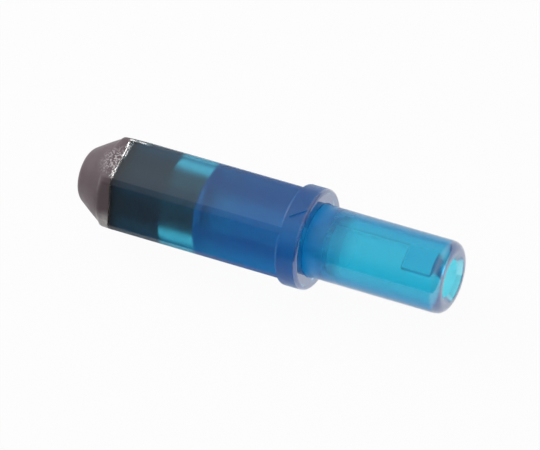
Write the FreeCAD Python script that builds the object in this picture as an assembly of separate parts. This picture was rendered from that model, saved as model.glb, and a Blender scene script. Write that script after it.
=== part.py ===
"""Sealed single-way butt connector half: a moulded housing, its rear wire seal and their bond line.

Millimetres. +X runs along the axis towards the mating end and +Z is up, with one flat of the
hexagonal body on top. The origin is on the axis, in the front face of the collar.
"""
import FreeCAD
import Part
import math
import os

# Hexagonal body and collar
across_flats = 9.5            # between two opposite flats of the body
corner_cut = 0.78             # what the round lands at the six corners take off a flat's width
body_length = 18.8            # from the rear rim to the collar
collar_length = 2.5
collar_edge_radius = 0.35
land_edge_radius = 0.12       # soft edge on both sides of each corner land

# Mating tube
tube_diameter = 7.6
tube_length = 15.0            # from the collar to the tip
tip_radius = 0.95             # outer rounding of the tip
mating_bore_diameter = 4.0
mating_bore_floor = 0.2       # depth of the bore's end behind the collar's front face
funnel_length = 2.4           # the bore's inner end narrows over this length to the passage
mouth_lead_in = 0.55          # chamfer at the mouth, measured along the radius
mouth_lead_in_length = 0.5

# Key inside the mating bore, under the top flat
key_width = 2.3
key_height = 0.8              # how far it stands into the bore
key_length = 3.2
key_setback = 1.6             # from the tip back to the key
key_root = 0.3                # how deep the key's solid is rooted in the tube's wall

# Seal pocket and contact cavity
pocket_diameter = 8.0
pocket_depth = 9.2            # from the rear rim
cavity_diameter = 2.4
cavity_length = 3.6
passage_diameter = 1.7        # joins the cavity to the mating bore

# Raised direction mark on top of the collar
mark_width = 2.5
mark_length = 1.55
mark_height = 0.15            # above the collar's crown
mark_setback = 0.2            # from the collar's front face back to the mark's point

# Rear seal
bond_clearance = 0.02         # between the seal's plug and the pocket's wall
plug_length = 5.3             # full-width stretch of the seal in the pocket
neck_gap = 0.3                # air round the seal's thinner inner stretch
neck_end_clearance = 0.02     # before the pocket's floor
band_length = 1.5             # hexagonal band outside the rear rim
band_edge_radius = 0.2
nose_length = 3.35            # taper beyond the band
nose_end_diameter = 5.14      # where the taper and the end face would meet
nose_end_radius = 1.4
wire_hole_diameter = 1.5
wire_hole_lead_in = 0.3

# Bond line between the rear rim and the seal's band
bond_thickness = 0.15

X_AXIS = FreeCAD.Vector(1, 0, 0)

# The body is turned from one round with the collar, so the lands and the collar share a diameter
full_flat_width = across_flats * math.tan(math.pi / 6)
round_diameter = math.hypot(across_flats, full_flat_width - corner_cut)

# Places along the axis, from the mating tip back to the seal's nose
tip_x = tube_length
collar_rear_x = -collar_length
rim_x = collar_rear_x - body_length
pocket_floor_x = rim_x + pocket_depth
cavity_floor_x = pocket_floor_x + cavity_length
band_front_x = rim_x - bond_thickness
band_rear_x = band_front_x - band_length
nose_end_x = band_rear_x - nose_length
plug_end_x = rim_x + plug_length
neck_end_x = pocket_floor_x - neck_end_clearance


def rod(start_x, end_x, diameter):
    """Round rod along the axis."""
    return Part.makeCylinder(diameter / 2, end_x - start_x, FreeCAD.Vector(start_x, 0, 0), X_AXIS)


def taper(start_x, end_x, start_diameter, end_diameter):
    """Cone frustum along the axis."""
    base = FreeCAD.Vector(start_x, 0, 0)
    return Part.makeCone(start_diameter / 2, end_diameter / 2, end_x - start_x, base, X_AXIS)


def edges_at(solid, x, diameter):
    """The solid's circular edges of one diameter in the plane at x."""
    found = []
    for edge in solid.Edges:
        curve = edge.Curve
        if isinstance(curve, Part.Circle):
            same_plane = abs(curve.Center.x - x) < 1e-4
            same_size = abs(curve.Radius - diameter / 2) < 1e-4
            if same_plane and same_size:
                found.append(edge)
    return found


def hexagonal_bar(start_x, end_x):
    """Hexagonal bar with a flat on top, its corners cut back to round lands with soft edges."""
    corner = across_flats / 2 / math.cos(math.pi / 6)
    points = []
    for step in range(7):
        angle = step * math.pi / 3
        points.append(FreeCAD.Vector(start_x, corner * math.cos(angle), corner * math.sin(angle)))
    section = Part.Face(Part.makePolygon(points))
    prism = section.extrude(FreeCAD.Vector(end_x - start_x, 0, 0))
    bar = prism.common(rod(start_x, end_x, round_diameter))
    length = end_x - start_x
    land_edges = [edge for edge in bar.Edges
                  if isinstance(edge.Curve, Part.Line) and abs(edge.Length - length) < 1e-4]
    return bar.makeFillet(land_edge_radius, land_edges)


def make_collar():
    """Round collar with both rims rounded."""
    disc = rod(collar_rear_x, 0, round_diameter)
    rims = edges_at(disc, collar_rear_x, round_diameter) + edges_at(disc, 0, round_diameter)
    return disc.makeFillet(collar_edge_radius, rims)


def make_tube():
    """Mating tube, solid, with its rounded tip. It is rooted in the collar."""
    tube = rod(collar_rear_x / 2, tip_x, tube_diameter)
    return tube.makeFillet(tip_radius, edges_at(tube, tip_x, tube_diameter))


def make_mark():
    """Raised triangle on the collar's crown, pointing to the mating end."""
    point_x = -mark_setback
    base_x = point_x - mark_length
    root_z = across_flats / 2
    outline = [
        FreeCAD.Vector(point_x, 0, root_z),
        FreeCAD.Vector(base_x, mark_width / 2, root_z),
        FreeCAD.Vector(base_x, -mark_width / 2, root_z),
        FreeCAD.Vector(point_x, 0, root_z),
    ]
    height = round_diameter / 2 + mark_height - root_z
    return Part.Face(Part.makePolygon(outline)).extrude(FreeCAD.Vector(0, 0, height))


def make_key():
    """Block that keys the mating plug. It stands in from the top of the bore."""
    bore_radius = mating_bore_diameter / 2
    corner = FreeCAD.Vector(tip_x - key_setback - key_length, -key_width / 2, bore_radius - key_height)
    return Part.makeBox(key_length, key_width, key_height + key_root, corner)


def mating_bore():
    """Space inside the mating tube: the bore, its funnel and its lead-in, less the key."""
    funnel_start_x = -mating_bore_floor
    bore_start_x = funnel_start_x + funnel_length
    bore = rod(bore_start_x, tip_x, mating_bore_diameter)
    funnel = taper(funnel_start_x, bore_start_x, passage_diameter, mating_bore_diameter)
    mouth_diameter = mating_bore_diameter + 2 * mouth_lead_in
    lead_in = taper(tip_x - mouth_lead_in_length, tip_x, mating_bore_diameter, mouth_diameter)
    return bore.fuse([funnel, lead_in]).cut(make_key())


def make_housing():
    """One moulding: hexagonal body, collar, mating tube, stepped bores, key and mark."""
    body = hexagonal_bar(rim_x, collar_rear_x / 2)
    outside = body.fuse([make_collar(), make_tube(), make_mark()])
    hollows = [
        rod(rim_x, pocket_floor_x, pocket_diameter),
        rod(pocket_floor_x, cavity_floor_x, cavity_diameter),
        rod(cavity_floor_x, 0, passage_diameter),
        mating_bore(),
    ]
    return outside.cut(hollows).removeSplitter()


def make_rear_seal():
    """One rubber moulding: tapered nose, hexagonal band, plug, thinner inner stretch and wire hole."""
    taper_part = taper(nose_end_x, band_rear_x, nose_end_diameter, across_flats)
    nose = taper_part.makeFillet(nose_end_radius, edges_at(taper_part, nose_end_x, nose_end_diameter))
    band = hexagonal_bar(band_rear_x, band_front_x)
    rear_edges = [edge for edge in band.Edges
                  if abs(edge.BoundBox.XMax - band_rear_x) < 1e-4]
    band = band.makeFillet(band_edge_radius, rear_edges)
    plug = rod(band_front_x, plug_end_x, pocket_diameter - 2 * bond_clearance)
    neck = rod(plug_end_x, neck_end_x, pocket_diameter - 2 * neck_gap)
    wire_hole = rod(nose_end_x, neck_end_x, wire_hole_diameter)
    entry_diameter = wire_hole_diameter + 2 * wire_hole_lead_in
    entry = taper(nose_end_x, nose_end_x + wire_hole_lead_in, entry_diameter, wire_hole_diameter)
    return nose.fuse([band, plug, neck]).cut([wire_hole, entry]).removeSplitter()


def make_bond_line():
    """Ring of cured adhesive between the housing's rear rim and the seal's band."""
    ring = hexagonal_bar(band_front_x, rim_x)
    return ring.cut(rod(band_front_x, rim_x, pocket_diameter))


def main():
    os.makedirs("parts", exist_ok=True)
    pieces = {
        "housing": make_housing(),
        "rear_seal": make_rear_seal(),
        "bond_line": make_bond_line(),
    }
    for name, shape in pieces.items():
        shape.exportStep(os.path.join("parts", name + ".step"))
        box = shape.BoundBox
        print(name, "solids", len(shape.Solids), "valid", shape.isValid(),
              "volume", round(shape.Volume, 3),
              "x", round(box.XMin, 3), round(box.XMax, 3),
              "y", round(box.YMin, 3), round(box.YMax, 3),
              "z", round(box.ZMin, 3), round(box.ZMax, 3))


main()
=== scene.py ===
"""Dresses the butt connector: translucent blue housing, brown rubber seal and clear adhesive rim.

Lengths are in metres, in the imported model's own frame. +X points to the mating mouth, +Z is up.
"""
import math

import bpy
from mathutils import Matrix, Vector, noise


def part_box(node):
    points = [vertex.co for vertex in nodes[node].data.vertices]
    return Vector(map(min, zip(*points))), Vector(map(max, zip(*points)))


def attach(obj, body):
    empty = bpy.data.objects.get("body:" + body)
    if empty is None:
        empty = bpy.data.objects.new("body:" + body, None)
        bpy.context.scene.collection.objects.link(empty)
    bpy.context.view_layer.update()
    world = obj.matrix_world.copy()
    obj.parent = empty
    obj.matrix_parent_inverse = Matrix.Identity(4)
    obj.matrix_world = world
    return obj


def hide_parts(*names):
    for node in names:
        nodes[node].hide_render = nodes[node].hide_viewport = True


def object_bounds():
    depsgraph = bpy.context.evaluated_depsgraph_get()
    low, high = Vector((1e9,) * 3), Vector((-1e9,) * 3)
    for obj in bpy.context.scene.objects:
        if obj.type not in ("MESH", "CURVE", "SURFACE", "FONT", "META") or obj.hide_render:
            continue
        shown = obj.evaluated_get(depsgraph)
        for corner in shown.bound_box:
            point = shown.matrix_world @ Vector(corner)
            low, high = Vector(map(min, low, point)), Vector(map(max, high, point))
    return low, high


MM = 0.001

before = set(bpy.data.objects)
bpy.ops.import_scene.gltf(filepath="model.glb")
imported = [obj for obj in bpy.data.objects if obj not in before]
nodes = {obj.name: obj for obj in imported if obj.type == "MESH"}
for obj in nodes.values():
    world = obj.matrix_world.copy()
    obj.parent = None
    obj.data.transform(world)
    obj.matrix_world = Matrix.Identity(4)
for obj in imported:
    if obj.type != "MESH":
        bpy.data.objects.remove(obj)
cad_low, cad_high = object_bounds()

# Where the photograph was taken from: the axis leans towards the camera by the tilt, and the
# camera stands at the climb angle above the horizon of the part's cross-section
AXIS_TILT = math.radians(20.8)
CLIMB = math.radians(61.2)
AXIS_SLOPE = math.radians(16.15)     # how far the axis slopes down to the right in the picture
FRAME_WIDTH_PX = 540
PX_PER_MM = 9.895
ORIGIN_OFFSET_PX = (48.4, 15.3)      # the collar's front centre, right of and below the middle
LENS_MM = 450.0
SENSOR_MM = 36.0
CAMERA_CLIP = (0.01, 20.0)

# Room, lamp and floor
BRIGHT_SIDE = Vector((-0.45, 0.45, 0.77)).normalized()   # towards the brightest part of the room
ROOM_TURN = (-0.2, 0.9)              # cosine from there at which the room is darkest and brightest
ROOM_LEVELS = (0.15, 1.05)
LAMP_PLACE = (-0.34, 0.09, 0.283)
LAMP_SIZE = 0.25
LAMP_WATTS = 0.8
FLOOR_HALF_WIDTH = 0.6
FLOOR_SHADE = (0.6, 0.6, 0.6)
FLOOR_GLOW = 0.96                    # how much of the floor's white doesn't depend on the light
# Painted shadow of the body on that glow, seen only through the plastic, beside it and under its
# seal: share taken away, middle along and across the axis, and reach from full to none along and
# across it
PAINTED_BODY_SHADOWS = (
    (0.95, (-8.5 * MM, 7.5 * MM), (4.5 * MM, 6.5 * MM), (4.0 * MM, 6.5 * MM)),
    (0.6, (-17.5 * MM, 0.0), (3.5 * MM, 5.5 * MM), (2.0 * MM, 4.0 * MM)),
)

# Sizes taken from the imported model, in metres
bond_low, bond_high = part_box("bond_line")
seal_low, seal_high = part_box("rear_seal")
RIM_X = bond_high.x
BAND_FRONT_X = bond_low.x
APOTHEM = bond_high.z
LAND_RADIUS = bond_high.y
NOSE_END_X = seal_low.x
NECK_END_X = seal_high.x

# Sizes of the seal that the boxes don't give
BAND_LENGTH = 1.5 * MM
BAND_REAR_X = BAND_FRONT_X - BAND_LENGTH
NOSE_END_RADIUS = 2.57 * MM          # where the taper and the end face would meet
NOSE_ROUNDING = 1.4 * MM
PLUG_RADIUS = 4.02 * MM              # pressed into the pocket's wall, as it is bonded there
PLUG_LENGTH = 5.3 * MM
PLUG_END_X = RIM_X + PLUG_LENGTH
NECK_RADIUS = 3.7 * MM
HOLE_RADIUS = 0.75 * MM
HOLE_LEAD_IN = 0.3 * MM
TAPER_SLOPE = (APOTHEM - NOSE_END_RADIUS) / (BAND_REAR_X - NOSE_END_X)
CORNER_STEEPNESS = 2.0               # how much faster the taper rises over the band's corners
EDGE_SOFTNESS = 0.3 * MM             # rounds the edge between the taper and the band
SOFT_BEFORE_EDGE = (2 * MM, 0.5 * MM)    # where that rounding starts and where it is full
SEAL_SIDES = 216
LIP_STEPS = 4                        # rings of the seal's mesh on its end face, rounding and outside
ROUNDING_STEPS = 14
OUTSIDE_STEPS = 44
SHARP_EDGE = math.radians(35)

# Looks. A pair of lengths is where a fade starts and where it ends, and a GRAIN is the size of the
# features in a pattern
# Plastic of the housing
PLASTIC_IOR = 1.5
PLASTIC_TINTS = ((0.76, 1.0, 1.0), (0.68, 0.94, 1.0))    # of the thin tube and of the body: one plastic, the tube tinted lighter as painted light
PLASTIC_DEPTH_COLOUR = (0.1, 0.83, 0.95)
PLASTIC_DEPTH_DENSITY = 950.0
PLASTIC_HAZE_COLOUR = (0.35, 0.62, 1.0)
PLASTIC_HAZE_DENSITY = 85.0
PLASTIC_RIPPLE_GRAIN = 1.6 * MM
PLASTIC_RIPPLE_DEPTH = 0.012 * MM
TUBE_ROUGHNESS = (0.12, 0.2)
TUBE_ROUGHNESS_GRAIN = 3 * MM
BODY_EXTRA_ROUGHNESS = 0.2
DULL_AND_PAINTED_DARK_END_X = (0.0, 4.5 * MM)             # the body is less glossy than the tube, and tinted darker as painted shade
HOLLOW_RADIUS = (2.05 * MM, 2.2 * MM)    # contact cavity and passage: left matt by their core pins
BODY_END_X = (-0.2 * MM, 0.1 * MM)
HOLLOW_ROUGHNESS = 0.8
GLOSS_IOR = 2.0                          # of the extra gloss on the collar's front face and the tip
GLOSS_ROUGHNESS = 0.1
FRONT_FACE_X = (0.25 * MM, 0.4 * MM)
FRONT_FACE_RADIUS = (3.85 * MM, 4.0 * MM)
FRONT_FACE_DULLNESS = 0.3                # share of the body's roughness on that face
TIP_GLOSS_X = (14.0 * MM, 14.3 * MM)
FUNNEL_RADIUS = (2.15 * MM, 2.3 * MM)    # the funnel at the bore's end is matt too
FUNNEL_END_X = (2.0 * MM, 4.5 * MM)
FUNNEL_ROUGHNESS = 0.9

# Rubber of the seal
RUBBER_SHADES = ((0.078, 0.051, 0.06), (0.122, 0.081, 0.094))
RUBBER_SHADE_GRAIN = 1.8 * MM
RUBBER_PAINTED_DARK_INSIDE = (0.03, 0.014, 0.034)        # painted shade: darker and bluer where the seal sits inside the housing
INSIDE_HOUSING_X = (RIM_X - 0.05 * MM, RIM_X)
RUBBER_ROUGHNESS = (0.38, 0.62)
RUBBER_ROUGHNESS_GRAIN = 0.5 * MM
RUBBER_BUMP_GRAIN = 0.12 * MM
RUBBER_BUMP_DEPTH = 0.02 * MM
SHEEN_WEIGHT = 0.2
SHEEN_ROUGHNESS = 0.4
SHEEN_TINT = (1.0, 0.97, 0.96)
SPECK_PLACE = (RIM_X - 0.6 * MM, -0.3 * MM, APOTHEM)         # middle of the pale dots of dried adhesive on top, partly painted glints of its bubbles
SPECK_REACH = (0.3 * MM, 2.4 * MM)
SPECK_AND_GLINT_SHADE = (0.5, 0.45, 0.46)
SPECK_GRAIN = 0.15 * MM
SPECK_LEVEL = (0.5, 0.58)                # a speck starts and is full at these levels of the noise
BLOOM_AND_GLINT_PLACE = (RIM_X - 0.4 * MM, -LAND_RADIUS, 0.1 * MM)    # pale patch at the lower corner: whitish powder on the rubber, and a painted glint
BLOOM_AND_GLINT_REACH = (0.2 * MM, 2.0 * MM)
BLOOM_AND_GLINT_SHADE = (0.7, 0.68, 0.67)
BLOOM_AND_GLINT_GRAIN = 0.25 * MM
BLOOM_AND_GLINT_STRENGTH = (0.35, 1.3)

# Cured adhesive
ADHESIVE_COLOUR = (0.95, 0.94, 0.93)
ADHESIVE_CLEARNESS = 0.97
ADHESIVE_IOR = 1.45
ADHESIVE_ROUGHNESS = (0.02, 0.12)
ADHESIVE_ROUGHNESS_GRAIN = 0.3 * MM
ADHESIVE_BUMP_GRAIN = 0.2 * MM
ADHESIVE_BUMP_DEPTH = 0.06 * MM

# Adhesive squeezed out: name, from and to along the axis, from and to round it in degrees from +Y
# over +Z, height, share of bubbles, how much they are drawn out to streaks round the axis, and seed
ADHESIVE_PATCHES = (
    ("adhesive_bead", (RIM_X - 0.35 * MM, RIM_X + 0.3 * MM), (64, 88), 0.1 * MM, 0.9, 5.0, 3.0),
    ("adhesive_foam", (RIM_X - 0.5 * MM, RIM_X + 0.05 * MM), (86, 118), 0.06 * MM, 1.0, 1.0, 11.0),
    ("adhesive_smear", (RIM_X - 0.8 * MM, RIM_X + 2.0 * MM), (58, 62), 0.02 * MM, 0.6, 1.0, 23.0),
)
PATCH_STEP = 0.05 * MM
PATCH_MIN_STEPS = 8
PATCH_ROOT = 0.008 * MM
WAVES_PER_MM = 1.6                   # of the film's outline
FILM_EXTENT = 0.9                    # how far the film reaches towards the patch's border
FILM_STEEPNESS = 1.4
BUBBLES_PER_MM = 7
BUBBLE_HEIGHT = 2.2                  # of a bubble's top, as a share of the patch's height

# Light paths, long enough for the walls and hollows that one ray goes through
MAX_BOUNCES = 24
GLOSSY_BOUNCES = 12
VOLUME_BOUNCES = 8


def hexagon_radius(angle):
    """Distance from the axis to the body's outline: flats with narrow round lands between them."""
    from_flat = (angle - math.pi / 2 + math.pi / 6) % (math.pi / 3) - math.pi / 6
    return min(APOTHEM / math.cos(from_flat), LAND_RADIUS)


def smooth_share(value):
    """0 to 1 with level ends."""
    value = min(max(value, 0.0), 1.0)
    return value * value * (3 - 2 * value)


def seal_radius(x, angle):
    """Radius of the seal's taper and band, with a soft edge between them."""
    past_edge = x - BAND_REAR_X
    steepness = CORNER_STEEPNESS if past_edge > 0 else 1.0
    taper = APOTHEM + past_edge * TAPER_SLOPE * steepness
    outline = hexagon_radius(angle)
    start, full = SOFT_BEFORE_EDGE
    softness = EDGE_SOFTNESS * smooth_share((past_edge + start) / (start - full))
    return (taper + outline - math.hypot(taper - outline, softness)) / 2


def seal_rings():
    """Rings of the seal from the lip of the wire hole over the outside and back through the hole."""
    lean = math.atan(TAPER_SLOPE)
    arc_x = NOSE_END_X + NOSE_ROUNDING
    arc_radius = NOSE_END_RADIUS + NOSE_ROUNDING * TAPER_SLOPE - NOSE_ROUNDING / math.cos(lean)
    lip_radius = HOLE_RADIUS + HOLE_LEAD_IN
    rings = []

    def round_ring(x, radius):
        rings.append([(x, radius)] * SEAL_SIDES)

    for step in range(LIP_STEPS):
        round_ring(NOSE_END_X, lip_radius + step / LIP_STEPS * (arc_radius - lip_radius))
    for step in range(ROUNDING_STEPS + 1):
        turn = math.pi - step / ROUNDING_STEPS * (math.pi / 2 - lean)
        round_ring(arc_x + NOSE_ROUNDING * math.cos(turn), arc_radius + NOSE_ROUNDING * math.sin(turn))
    outside_start = rings[-1][0][0]
    for step in range(1, OUTSIDE_STEPS + 1):
        x = outside_start + step / OUTSIDE_STEPS * (BAND_FRONT_X - outside_start)
        rings.append([(x, seal_radius(x, side * 2 * math.pi / SEAL_SIDES)) for side in range(SEAL_SIDES)])
    round_ring(BAND_FRONT_X, PLUG_RADIUS)
    round_ring(PLUG_END_X, PLUG_RADIUS)
    round_ring(PLUG_END_X, NECK_RADIUS)
    round_ring(NECK_END_X, NECK_RADIUS)
    round_ring(NECK_END_X, HOLE_RADIUS)
    round_ring(NOSE_END_X + HOLE_LEAD_IN, HOLE_RADIUS)
    return rings


def ring_mesh(name, rings, material):
    """Closed mesh through rings of (x, radius) pairs, the last ring joined to the first."""
    sides = len(rings[0])
    points = []
    for ring in rings:
        for side, (x, radius) in enumerate(ring):
            angle = side * 2 * math.pi / sides
            points.append((x, radius * math.cos(angle), radius * math.sin(angle)))
    faces = []
    for index in range(len(rings)):
        here = index * sides
        there = (index + 1) % len(rings) * sides
        for side in range(sides):
            beside = (side + 1) % sides
            faces.append((here + side, here + beside, there + beside, there + side))
    mesh = bpy.data.meshes.new(name)
    mesh.from_pydata(points, [], faces)
    mesh.validate()
    mesh.shade_smooth()
    mesh.set_sharp_from_angle(angle=SHARP_EDGE)
    mesh.materials.append(material)
    piece = bpy.data.objects.new(name, mesh)
    bpy.context.scene.collection.objects.link(piece)
    return piece


def make_camera():
    """Long-lens camera on the photograph's line of sight."""
    to_camera = Vector((
        math.sin(AXIS_TILT),
        -math.cos(AXIS_TILT) * math.cos(CLIMB),
        math.cos(AXIS_TILT) * math.sin(CLIMB),
    ))
    axis = Vector((1, 0, 0))
    along = (axis - axis.dot(to_camera) * to_camera).normalized()
    across = to_camera.cross(along)
    right = along * math.cos(AXIS_SLOPE) + across * math.sin(AXIS_SLOPE)
    up = -along * math.sin(AXIS_SLOPE) + across * math.cos(AXIS_SLOPE)
    offset_x = ORIGIN_OFFSET_PX[0] / PX_PER_MM * MM
    offset_y = ORIGIN_OFFSET_PX[1] / PX_PER_MM * MM
    middle = -right * offset_x + up * offset_y
    distance = LENS_MM / SENSOR_MM * FRAME_WIDTH_PX / PX_PER_MM * MM
    data = bpy.data.cameras.new("camera")
    data.lens = LENS_MM
    data.sensor_width = SENSOR_MM
    data.clip_start, data.clip_end = CAMERA_CLIP
    camera = bpy.data.objects.new("camera", data)
    turn = Matrix((right, up, to_camera)).transposed()
    camera.matrix_world = Matrix.Translation(middle + to_camera * distance) @ turn.to_4x4()
    bpy.context.scene.collection.objects.link(camera)
    bpy.context.scene.camera = camera


def new_material(name):
    """Node material with an empty node tree, and that tree."""
    material = bpy.data.materials.new(name)
    material.use_nodes = True
    tree = material.node_tree
    tree.nodes.clear()
    return material, tree


def add_node(tree, kind, **settings):
    node = tree.nodes.new(kind)
    for key, value in settings.items():
        setattr(node, key, value)
    return node


def distance(tree, place, middle):
    """Distance of a place from a fixed point."""
    far = add_node(tree, "ShaderNodeVectorMath", operation="DISTANCE")
    far.inputs[1].default_value = middle
    tree.links.new(place, far.inputs[0])
    return far.outputs["Value"]


def fade(tree, value, near, far):
    """1 below near, 0 above far, smooth between."""
    level = add_node(tree, "ShaderNodeMapRange", interpolation_type="SMOOTHSTEP")
    level.inputs["From Min"].default_value = near
    level.inputs["From Max"].default_value = far
    level.inputs["To Min"].default_value = 1.0
    level.inputs["To Max"].default_value = 0.0
    tree.links.new(value, level.inputs["Value"])
    return level.outputs["Result"]


def maths(tree, operation, *values):
    """One Math node. Each value is a number or an output to link."""
    node = add_node(tree, "ShaderNodeMath", operation=operation)
    for socket, value in zip(node.inputs, values):
        if isinstance(value, (int, float)):
            socket.default_value = value
        else:
            tree.links.new(value, socket)
    return node.outputs[0]


def floor_glow(tree):
    """Share of plain white in the floor as the eye and the plastic see it, not as a light, less a painted
    body shadow.
    """
    path = add_node(tree, "ShaderNodeLightPath")
    place = add_node(tree, "ShaderNodeNewGeometry")
    split = add_node(tree, "ShaderNodeSeparateXYZ")
    tree.links.new(place.outputs["Position"], split.inputs[0])
    # shade is a painted shadow of the body, taken only from what rays through the plastic see
    shade = 0.0
    for share, middle, reach_x, reach_y in PAINTED_BODY_SHADOWS:
        off_x = maths(tree, "ABSOLUTE", maths(tree, "SUBTRACT", split.outputs["X"], middle[0]))
        off_y = maths(tree, "ABSOLUTE", maths(tree, "SUBTRACT", split.outputs["Y"], middle[1]))
        under = maths(tree, "MULTIPLY", fade(tree, off_x, *reach_x), fade(tree, off_y, *reach_y))
        shade = maths(tree, "MAXIMUM", shade, maths(tree, "MULTIPLY", under, share))
    through = maths(tree, "MULTIPLY", path.outputs["Is Transmission Ray"], shade)
    seen = maths(tree, "MAXIMUM", path.outputs["Is Camera Ray"], path.outputs["Is Glossy Ray"])
    seen = maths(tree, "MAXIMUM", seen, path.outputs["Is Transmission Ray"])
    return maths(tree, "MULTIPLY", maths(tree, "SUBTRACT", seen, through), FLOOR_GLOW)


def make_floor():
    """Pale floor under the part. It looks white and keeps a faint shadow, plus a painted shadow of the
    body.
    """
    material, tree = new_material("white_floor")
    diffuse = add_node(tree, "ShaderNodeBsdfDiffuse")
    diffuse.inputs["Color"].default_value = (*FLOOR_SHADE, 1)
    glow = add_node(tree, "ShaderNodeEmission")
    glow.inputs["Color"].default_value = (1, 1, 1, 1)
    mix = add_node(tree, "ShaderNodeMixShader")
    output = add_node(tree, "ShaderNodeOutputMaterial")
    tree.links.new(floor_glow(tree), mix.inputs[0])
    tree.links.new(diffuse.outputs[0], mix.inputs[1])
    tree.links.new(glow.outputs[0], mix.inputs[2])
    tree.links.new(mix.outputs[0], output.inputs["Surface"])
    bottom = cad_low.z
    half = FLOOR_HALF_WIDTH
    mesh = bpy.data.meshes.new("floor")
    corners = [(-half, -half, bottom), (half, -half, bottom), (half, half, bottom), (-half, half, bottom)]
    mesh.from_pydata(corners, [], [(0, 1, 2, 3)])
    mesh.materials.append(material)
    floor = bpy.data.objects.new("floor", mesh)
    bpy.context.scene.collection.objects.link(floor)


def make_world():
    """White behind the part, and a soft room that is brightest above and behind it."""
    world = bpy.data.worlds.new("studio")
    bpy.context.scene.world = world
    world.use_nodes = True
    tree = world.node_tree
    tree.nodes.clear()
    path = add_node(tree, "ShaderNodeLightPath")
    direction = add_node(tree, "ShaderNodeTexCoord")
    facing = add_node(tree, "ShaderNodeVectorMath", operation="DOT_PRODUCT")
    facing.inputs[1].default_value = BRIGHT_SIDE
    level = add_node(tree, "ShaderNodeMapRange", interpolation_type="SMOOTHSTEP")
    for socket, value in zip(("From Min", "From Max", "To Min", "To Max"), ROOM_TURN + ROOM_LEVELS):
        level.inputs[socket].default_value = value
    seen = add_node(tree, "ShaderNodeBackground")
    seen.inputs["Color"].default_value = (1, 1, 1, 1)
    room = add_node(tree, "ShaderNodeBackground")
    mix = add_node(tree, "ShaderNodeMixShader")
    output = add_node(tree, "ShaderNodeOutputWorld")
    tree.links.new(direction.outputs["Generated"], facing.inputs[0])
    tree.links.new(facing.outputs["Value"], level.inputs["Value"])
    tree.links.new(level.outputs["Result"], room.inputs["Strength"])
    tree.links.new(path.outputs["Is Camera Ray"], mix.inputs[0])
    tree.links.new(room.outputs[0], mix.inputs[1])
    tree.links.new(seen.outputs[0], mix.inputs[2])
    tree.links.new(mix.outputs[0], output.inputs["Surface"])


def make_lamp(name, place, size, power):
    """Soft square lamp that points at the part."""
    data = bpy.data.lights.new(name, "AREA")
    data.shape = "SQUARE"
    data.size = size
    data.energy = power
    lamp = bpy.data.objects.new(name, data)
    lamp.location = place
    lamp.rotation_mode = "QUATERNION"
    lamp.rotation_quaternion = Vector(place).to_track_quat("Z", "Y")
    bpy.context.scene.collection.objects.link(lamp)


def colour(tree, shades, value):
    """Colour that goes from the first shade to the second as the value goes from 0 to 1.

    A shade is a colour or an output to link.
    """
    mix = add_node(tree, "ShaderNodeMixRGB")
    for socket, shade in zip(("Color1", "Color2"), shades):
        if isinstance(shade, tuple):
            mix.inputs[socket].default_value = (*shade, 1)
        else:
            tree.links.new(shade, mix.inputs[socket])
    tree.links.new(value, mix.inputs["Fac"])
    return mix.outputs["Color"]


def speckle(tree, place, grain, detail=3.0):
    """Noise with features of the given size in metres."""
    cloud = add_node(tree, "ShaderNodeTexNoise")
    cloud.inputs["Scale"].default_value = 1 / grain
    cloud.inputs["Detail"].default_value = detail
    tree.links.new(place, cloud.inputs["Vector"])
    return cloud.outputs["Fac"]


def between(tree, value, low, high):
    """Maps 0 to 1 onto low to high."""
    level = add_node(tree, "ShaderNodeMapRange")
    level.inputs["To Min"].default_value = low
    level.inputs["To Max"].default_value = high
    tree.links.new(value, level.inputs["Value"])
    return level.outputs["Result"]


def relief(tree, height, depth):
    """Bump normal for a height of 0 to 1 that stands for the depth in metres."""
    bump = add_node(tree, "ShaderNodeBump")
    bump.inputs["Distance"].default_value = depth
    tree.links.new(height, bump.inputs["Height"])
    return bump.outputs["Normal"]


def place_and_radius(tree):
    """Object coordinates, the place along the axis and the distance from it."""
    place = add_node(tree, "ShaderNodeTexCoord").outputs["Object"]
    split = add_node(tree, "ShaderNodeSeparateXYZ")
    tree.links.new(place, split.inputs[0])
    square_y = maths(tree, "MULTIPLY", split.outputs["Y"], split.outputs["Y"])
    square_z = maths(tree, "MULTIPLY", split.outputs["Z"], split.outputs["Z"])
    radius = maths(tree, "SQRT", maths(tree, "ADD", square_y, square_z))
    return place, split.outputs["X"], radius


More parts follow.
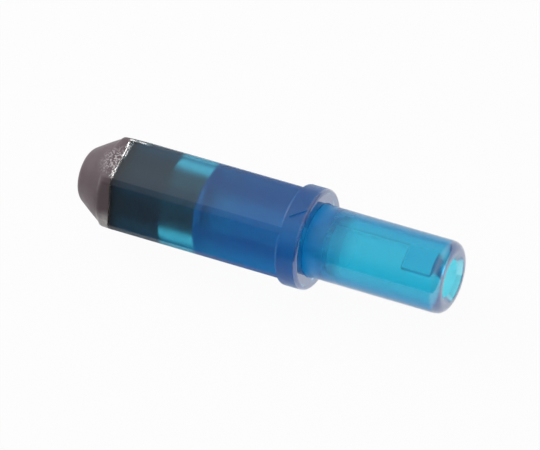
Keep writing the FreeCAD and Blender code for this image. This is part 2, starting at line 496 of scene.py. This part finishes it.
def housing_plastic():
    """Clear blue moulded plastic, coloured by how deep the light goes through it, the tube tinted lighter
    as painted light.
    """
    material, tree = new_material("clear_blue_plastic")
    place, along, radius = place_and_radius(tree)
    body_dull_and_painted_dark = fade(tree, along, *DULL_AND_PAINTED_DARK_END_X)
    cloudy = between(tree, speckle(tree, place, TUBE_ROUGHNESS_GRAIN), *TUBE_ROUGHNESS)
    roughness = maths(tree, "ADD", cloudy, maths(tree, "MULTIPLY", body_dull_and_painted_dark, BODY_EXTRA_ROUGHNESS))
    hollow = maths(tree, "MULTIPLY", fade(tree, radius, *HOLLOW_RADIUS), fade(tree, along, *BODY_END_X))
    roughness = maths(tree, "MAXIMUM", roughness, maths(tree, "MULTIPLY", hollow, HOLLOW_ROUGHNESS))
    funnel = maths(tree, "MULTIPLY", fade(tree, radius, *FUNNEL_RADIUS), fade(tree, along, *FUNNEL_END_X))
    roughness = maths(tree, "MAXIMUM", roughness, maths(tree, "MULTIPLY", funnel, FUNNEL_ROUGHNESS))
    near_front = fade(tree, maths(tree, "ABSOLUTE", along), *FRONT_FACE_X)
    outside_tube = maths(tree, "SUBTRACT", 1.0, fade(tree, radius, *FRONT_FACE_RADIUS))
    on_front = maths(tree, "MULTIPLY", near_front, outside_tube)
    roughness = maths(tree, "MULTIPLY", roughness, between(tree, on_front, 1.0, FRONT_FACE_DULLNESS))
    on_tip = maths(tree, "SUBTRACT", 1.0, fade(tree, along, *TIP_GLOSS_X))
    glossy = maths(tree, "MAXIMUM", on_front, on_tip)
    surface = add_node(tree, "ShaderNodeBsdfPrincipled")
    surface.inputs["IOR"].default_value = PLASTIC_IOR
    surface.inputs["Transmission Weight"].default_value = 1.0
    surface.inputs["Coat IOR"].default_value = GLOSS_IOR
    surface.inputs["Coat Roughness"].default_value = GLOSS_ROUGHNESS
    # Painted light: the tube's tint is lighter than the body's, so that the thin tube reads brighter
    tree.links.new(colour(tree, PLASTIC_TINTS, body_dull_and_painted_dark), surface.inputs["Base Color"])
    tree.links.new(glossy, surface.inputs["Coat Weight"])
    tree.links.new(roughness, surface.inputs["Roughness"])
    ripple = relief(tree, speckle(tree, place, PLASTIC_RIPPLE_GRAIN, 1.0), PLASTIC_RIPPLE_DEPTH)
    tree.links.new(ripple, surface.inputs["Normal"])
    depth = add_node(tree, "ShaderNodeVolumeAbsorption")
    depth.inputs["Color"].default_value = (*PLASTIC_DEPTH_COLOUR, 1)
    depth.inputs["Density"].default_value = PLASTIC_DEPTH_DENSITY
    haze = add_node(tree, "ShaderNodeVolumeScatter")
    haze.inputs["Color"].default_value = (*PLASTIC_HAZE_COLOUR, 1)
    haze.inputs["Density"].default_value = PLASTIC_HAZE_DENSITY
    both = add_node(tree, "ShaderNodeAddShader")
    output = add_node(tree, "ShaderNodeOutputMaterial")
    tree.links.new(surface.outputs[0], output.inputs["Surface"])
    tree.links.new(depth.outputs[0], both.inputs[0])
    tree.links.new(haze.outputs[0], both.inputs[1])
    tree.links.new(both.outputs[0], output.inputs["Volume"])
    return material


def seal_rubber():
    """Dull brown rubber, painted darker and bluer inside the housing as painted shade.

    A pale patch of whitish powder at the lower corner and pale dots of dried adhesive on top
    are partly painted glints.
    """
    material, tree = new_material("brown_rubber")
    place, along, _ = place_and_radius(tree)
    shade = colour(tree, RUBBER_SHADES, speckle(tree, place, RUBBER_SHADE_GRAIN))
    # Pale patch at the lower corner: whitish powder, and a painted glint
    dust_and_glint = between(tree, speckle(tree, place, BLOOM_AND_GLINT_GRAIN), *BLOOM_AND_GLINT_STRENGTH)
    bloom_and_glint = maths(tree, "MULTIPLY", fade(tree, distance(tree, place, BLOOM_AND_GLINT_PLACE), *BLOOM_AND_GLINT_REACH), dust_and_glint)
    shade = colour(tree, (shade, BLOOM_AND_GLINT_SHADE), bloom_and_glint)
    # Pale dots near the rim on top: dried adhesive, and painted glints of its fine bubbles
    no_grain = fade(tree, speckle(tree, place, SPECK_GRAIN, 1.0), *SPECK_LEVEL)
    near_specks = fade(tree, distance(tree, place, SPECK_PLACE), *SPECK_REACH)
    specks_and_glints = maths(tree, "MULTIPLY", near_specks, maths(tree, "SUBTRACT", 1.0, no_grain))
    shade = colour(tree, (shade, SPECK_AND_GLINT_SHADE), specks_and_glints)
    # Painted shade: the seal is darker and bluer where it sits inside the housing
    outside_housing = fade(tree, along, *INSIDE_HOUSING_X)
    surface = add_node(tree, "ShaderNodeBsdfPrincipled")
    surface.inputs["Sheen Weight"].default_value = SHEEN_WEIGHT
    surface.inputs["Sheen Roughness"].default_value = SHEEN_ROUGHNESS
    surface.inputs["Sheen Tint"].default_value = (*SHEEN_TINT, 1)
    tree.links.new(colour(tree, (RUBBER_PAINTED_DARK_INSIDE, shade), outside_housing), surface.inputs["Base Color"])
    roughness = between(tree, speckle(tree, place, RUBBER_ROUGHNESS_GRAIN), *RUBBER_ROUGHNESS)
    tree.links.new(roughness, surface.inputs["Roughness"])
    bumps = relief(tree, speckle(tree, place, RUBBER_BUMP_GRAIN, 4.0), RUBBER_BUMP_DEPTH)
    tree.links.new(bumps, surface.inputs["Normal"])
    output = add_node(tree, "ShaderNodeOutputMaterial")
    tree.links.new(surface.outputs[0], output.inputs["Surface"])
    return material


def bond_adhesive():
    """Clear cured adhesive with a surface that fine bubbles have left uneven."""
    material, tree = new_material("clear_adhesive")
    place = add_node(tree, "ShaderNodeTexCoord").outputs["Object"]
    surface = add_node(tree, "ShaderNodeBsdfPrincipled")
    surface.inputs["Base Color"].default_value = (*ADHESIVE_COLOUR, 1)
    surface.inputs["Transmission Weight"].default_value = ADHESIVE_CLEARNESS
    surface.inputs["IOR"].default_value = ADHESIVE_IOR
    roughness = between(tree, speckle(tree, place, ADHESIVE_ROUGHNESS_GRAIN), *ADHESIVE_ROUGHNESS)
    tree.links.new(roughness, surface.inputs["Roughness"])
    bumps = relief(tree, speckle(tree, place, ADHESIVE_BUMP_GRAIN, 2.0), ADHESIVE_BUMP_DEPTH)
    tree.links.new(bumps, surface.inputs["Normal"])
    output = add_node(tree, "ShaderNodeOutputMaterial")
    tree.links.new(surface.outputs[0], output.inputs["Surface"])
    return material


def adhesive_patch(name, span_x, span_angle, height, bubble_share, streaks, seed, material):
    """Thin irregular skin of adhesive on the seal's band and the housing's rim, with small bubbles."""
    steps_x = max(PATCH_MIN_STEPS, round((span_x[1] - span_x[0]) / PATCH_STEP))
    arc = math.radians(span_angle[1] - span_angle[0]) * APOTHEM
    steps_angle = max(PATCH_MIN_STEPS, round(arc / PATCH_STEP))
    points = []
    for row in range(steps_x + 1):
        share_x = row / steps_x
        x = span_x[0] + share_x * (span_x[1] - span_x[0])
        for column in range(steps_angle + 1):
            share_angle = column / steps_angle
            angle = math.radians(span_angle[0] + share_angle * (span_angle[1] - span_angle[0]))
            base = seal_radius(x, angle) if x < BAND_FRONT_X else hexagon_radius(angle)
            spot = Vector((x, base * math.cos(angle), base * math.sin(angle))) / MM
            edge = max(abs(2 * share_x - 1), abs(2 * share_angle - 1)) ** 3
            wave = noise.noise(spot * WAVES_PER_MM + Vector((seed, 0, 0)))
            film = smooth_share((FILM_EXTENT + FILM_EXTENT * wave - edge) * FILM_STEEPNESS)
            drawn_out = Vector((spot.x, spot.y / streaks, spot.z / streaks)) * BUBBLES_PER_MM
            bubble = max(0.0, noise.noise(drawn_out + Vector((0, seed, 0)))) * bubble_share
            lift = height * film * (1 - bubble_share + BUBBLE_HEIGHT * bubble) - PATCH_ROOT
            for radius in (base + lift, base - 2 * PATCH_ROOT):
                points.append((x, radius * math.cos(angle), radius * math.sin(angle)))
    width = steps_angle + 1

    def corner(row, column, under):
        return 2 * (row * width + column) + under

    faces = []
    for row in range(steps_x):
        for column in range(steps_angle):
            loop = ((row, column), (row + 1, column), (row + 1, column + 1), (row, column + 1))
            faces.append(tuple(corner(*spot, 0) for spot in loop))
            faces.append(tuple(corner(*spot, 1) for spot in reversed(loop)))
    border = [(row, 0) for row in range(steps_x)]
    border += [(steps_x, column) for column in range(steps_angle)]
    border += [(row, steps_angle) for row in range(steps_x, 0, -1)]
    border += [(0, column) for column in range(steps_angle, 0, -1)]
    for here, there in zip(border, border[1:] + border[:1]):
        faces.append((corner(*there, 0), corner(*here, 0), corner(*here, 1), corner(*there, 1)))
    mesh = bpy.data.meshes.new(name)
    mesh.from_pydata(points, [], faces)
    mesh.validate()
    mesh.shade_smooth()
    mesh.materials.append(material)
    piece = bpy.data.objects.new(name, mesh)
    bpy.context.scene.collection.objects.link(piece)
    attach(piece, "root")


def dress(name, material):
    """Gives a CAD node one material."""
    mesh = nodes[name].data
    mesh.materials.clear()
    mesh.materials.append(material)


make_camera()
make_world()
make_floor()
make_lamp("key_lamp", LAMP_PLACE, LAMP_SIZE, LAMP_WATTS)

dress("housing", housing_plastic())
seal = ring_mesh("seal_body", seal_rings(), seal_rubber())
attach(seal, "root")
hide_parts("rear_seal")
adhesive = bond_adhesive()
dress("bond_line", adhesive)
# Adhesive squeezed out along the rim on top and over the far corner
for patch in ADHESIVE_PATCHES:
    adhesive_patch(*patch, adhesive)

bpy.context.scene.view_settings.view_transform = "Standard"
bpy.context.scene.cycles.max_bounces = MAX_BOUNCES
bpy.context.scene.cycles.glossy_bounces = GLOSSY_BOUNCES
bpy.context.scene.cycles.transmission_bounces = MAX_BOUNCES
bpy.context.scene.cycles.volume_bounces = VOLUME_BOUNCES
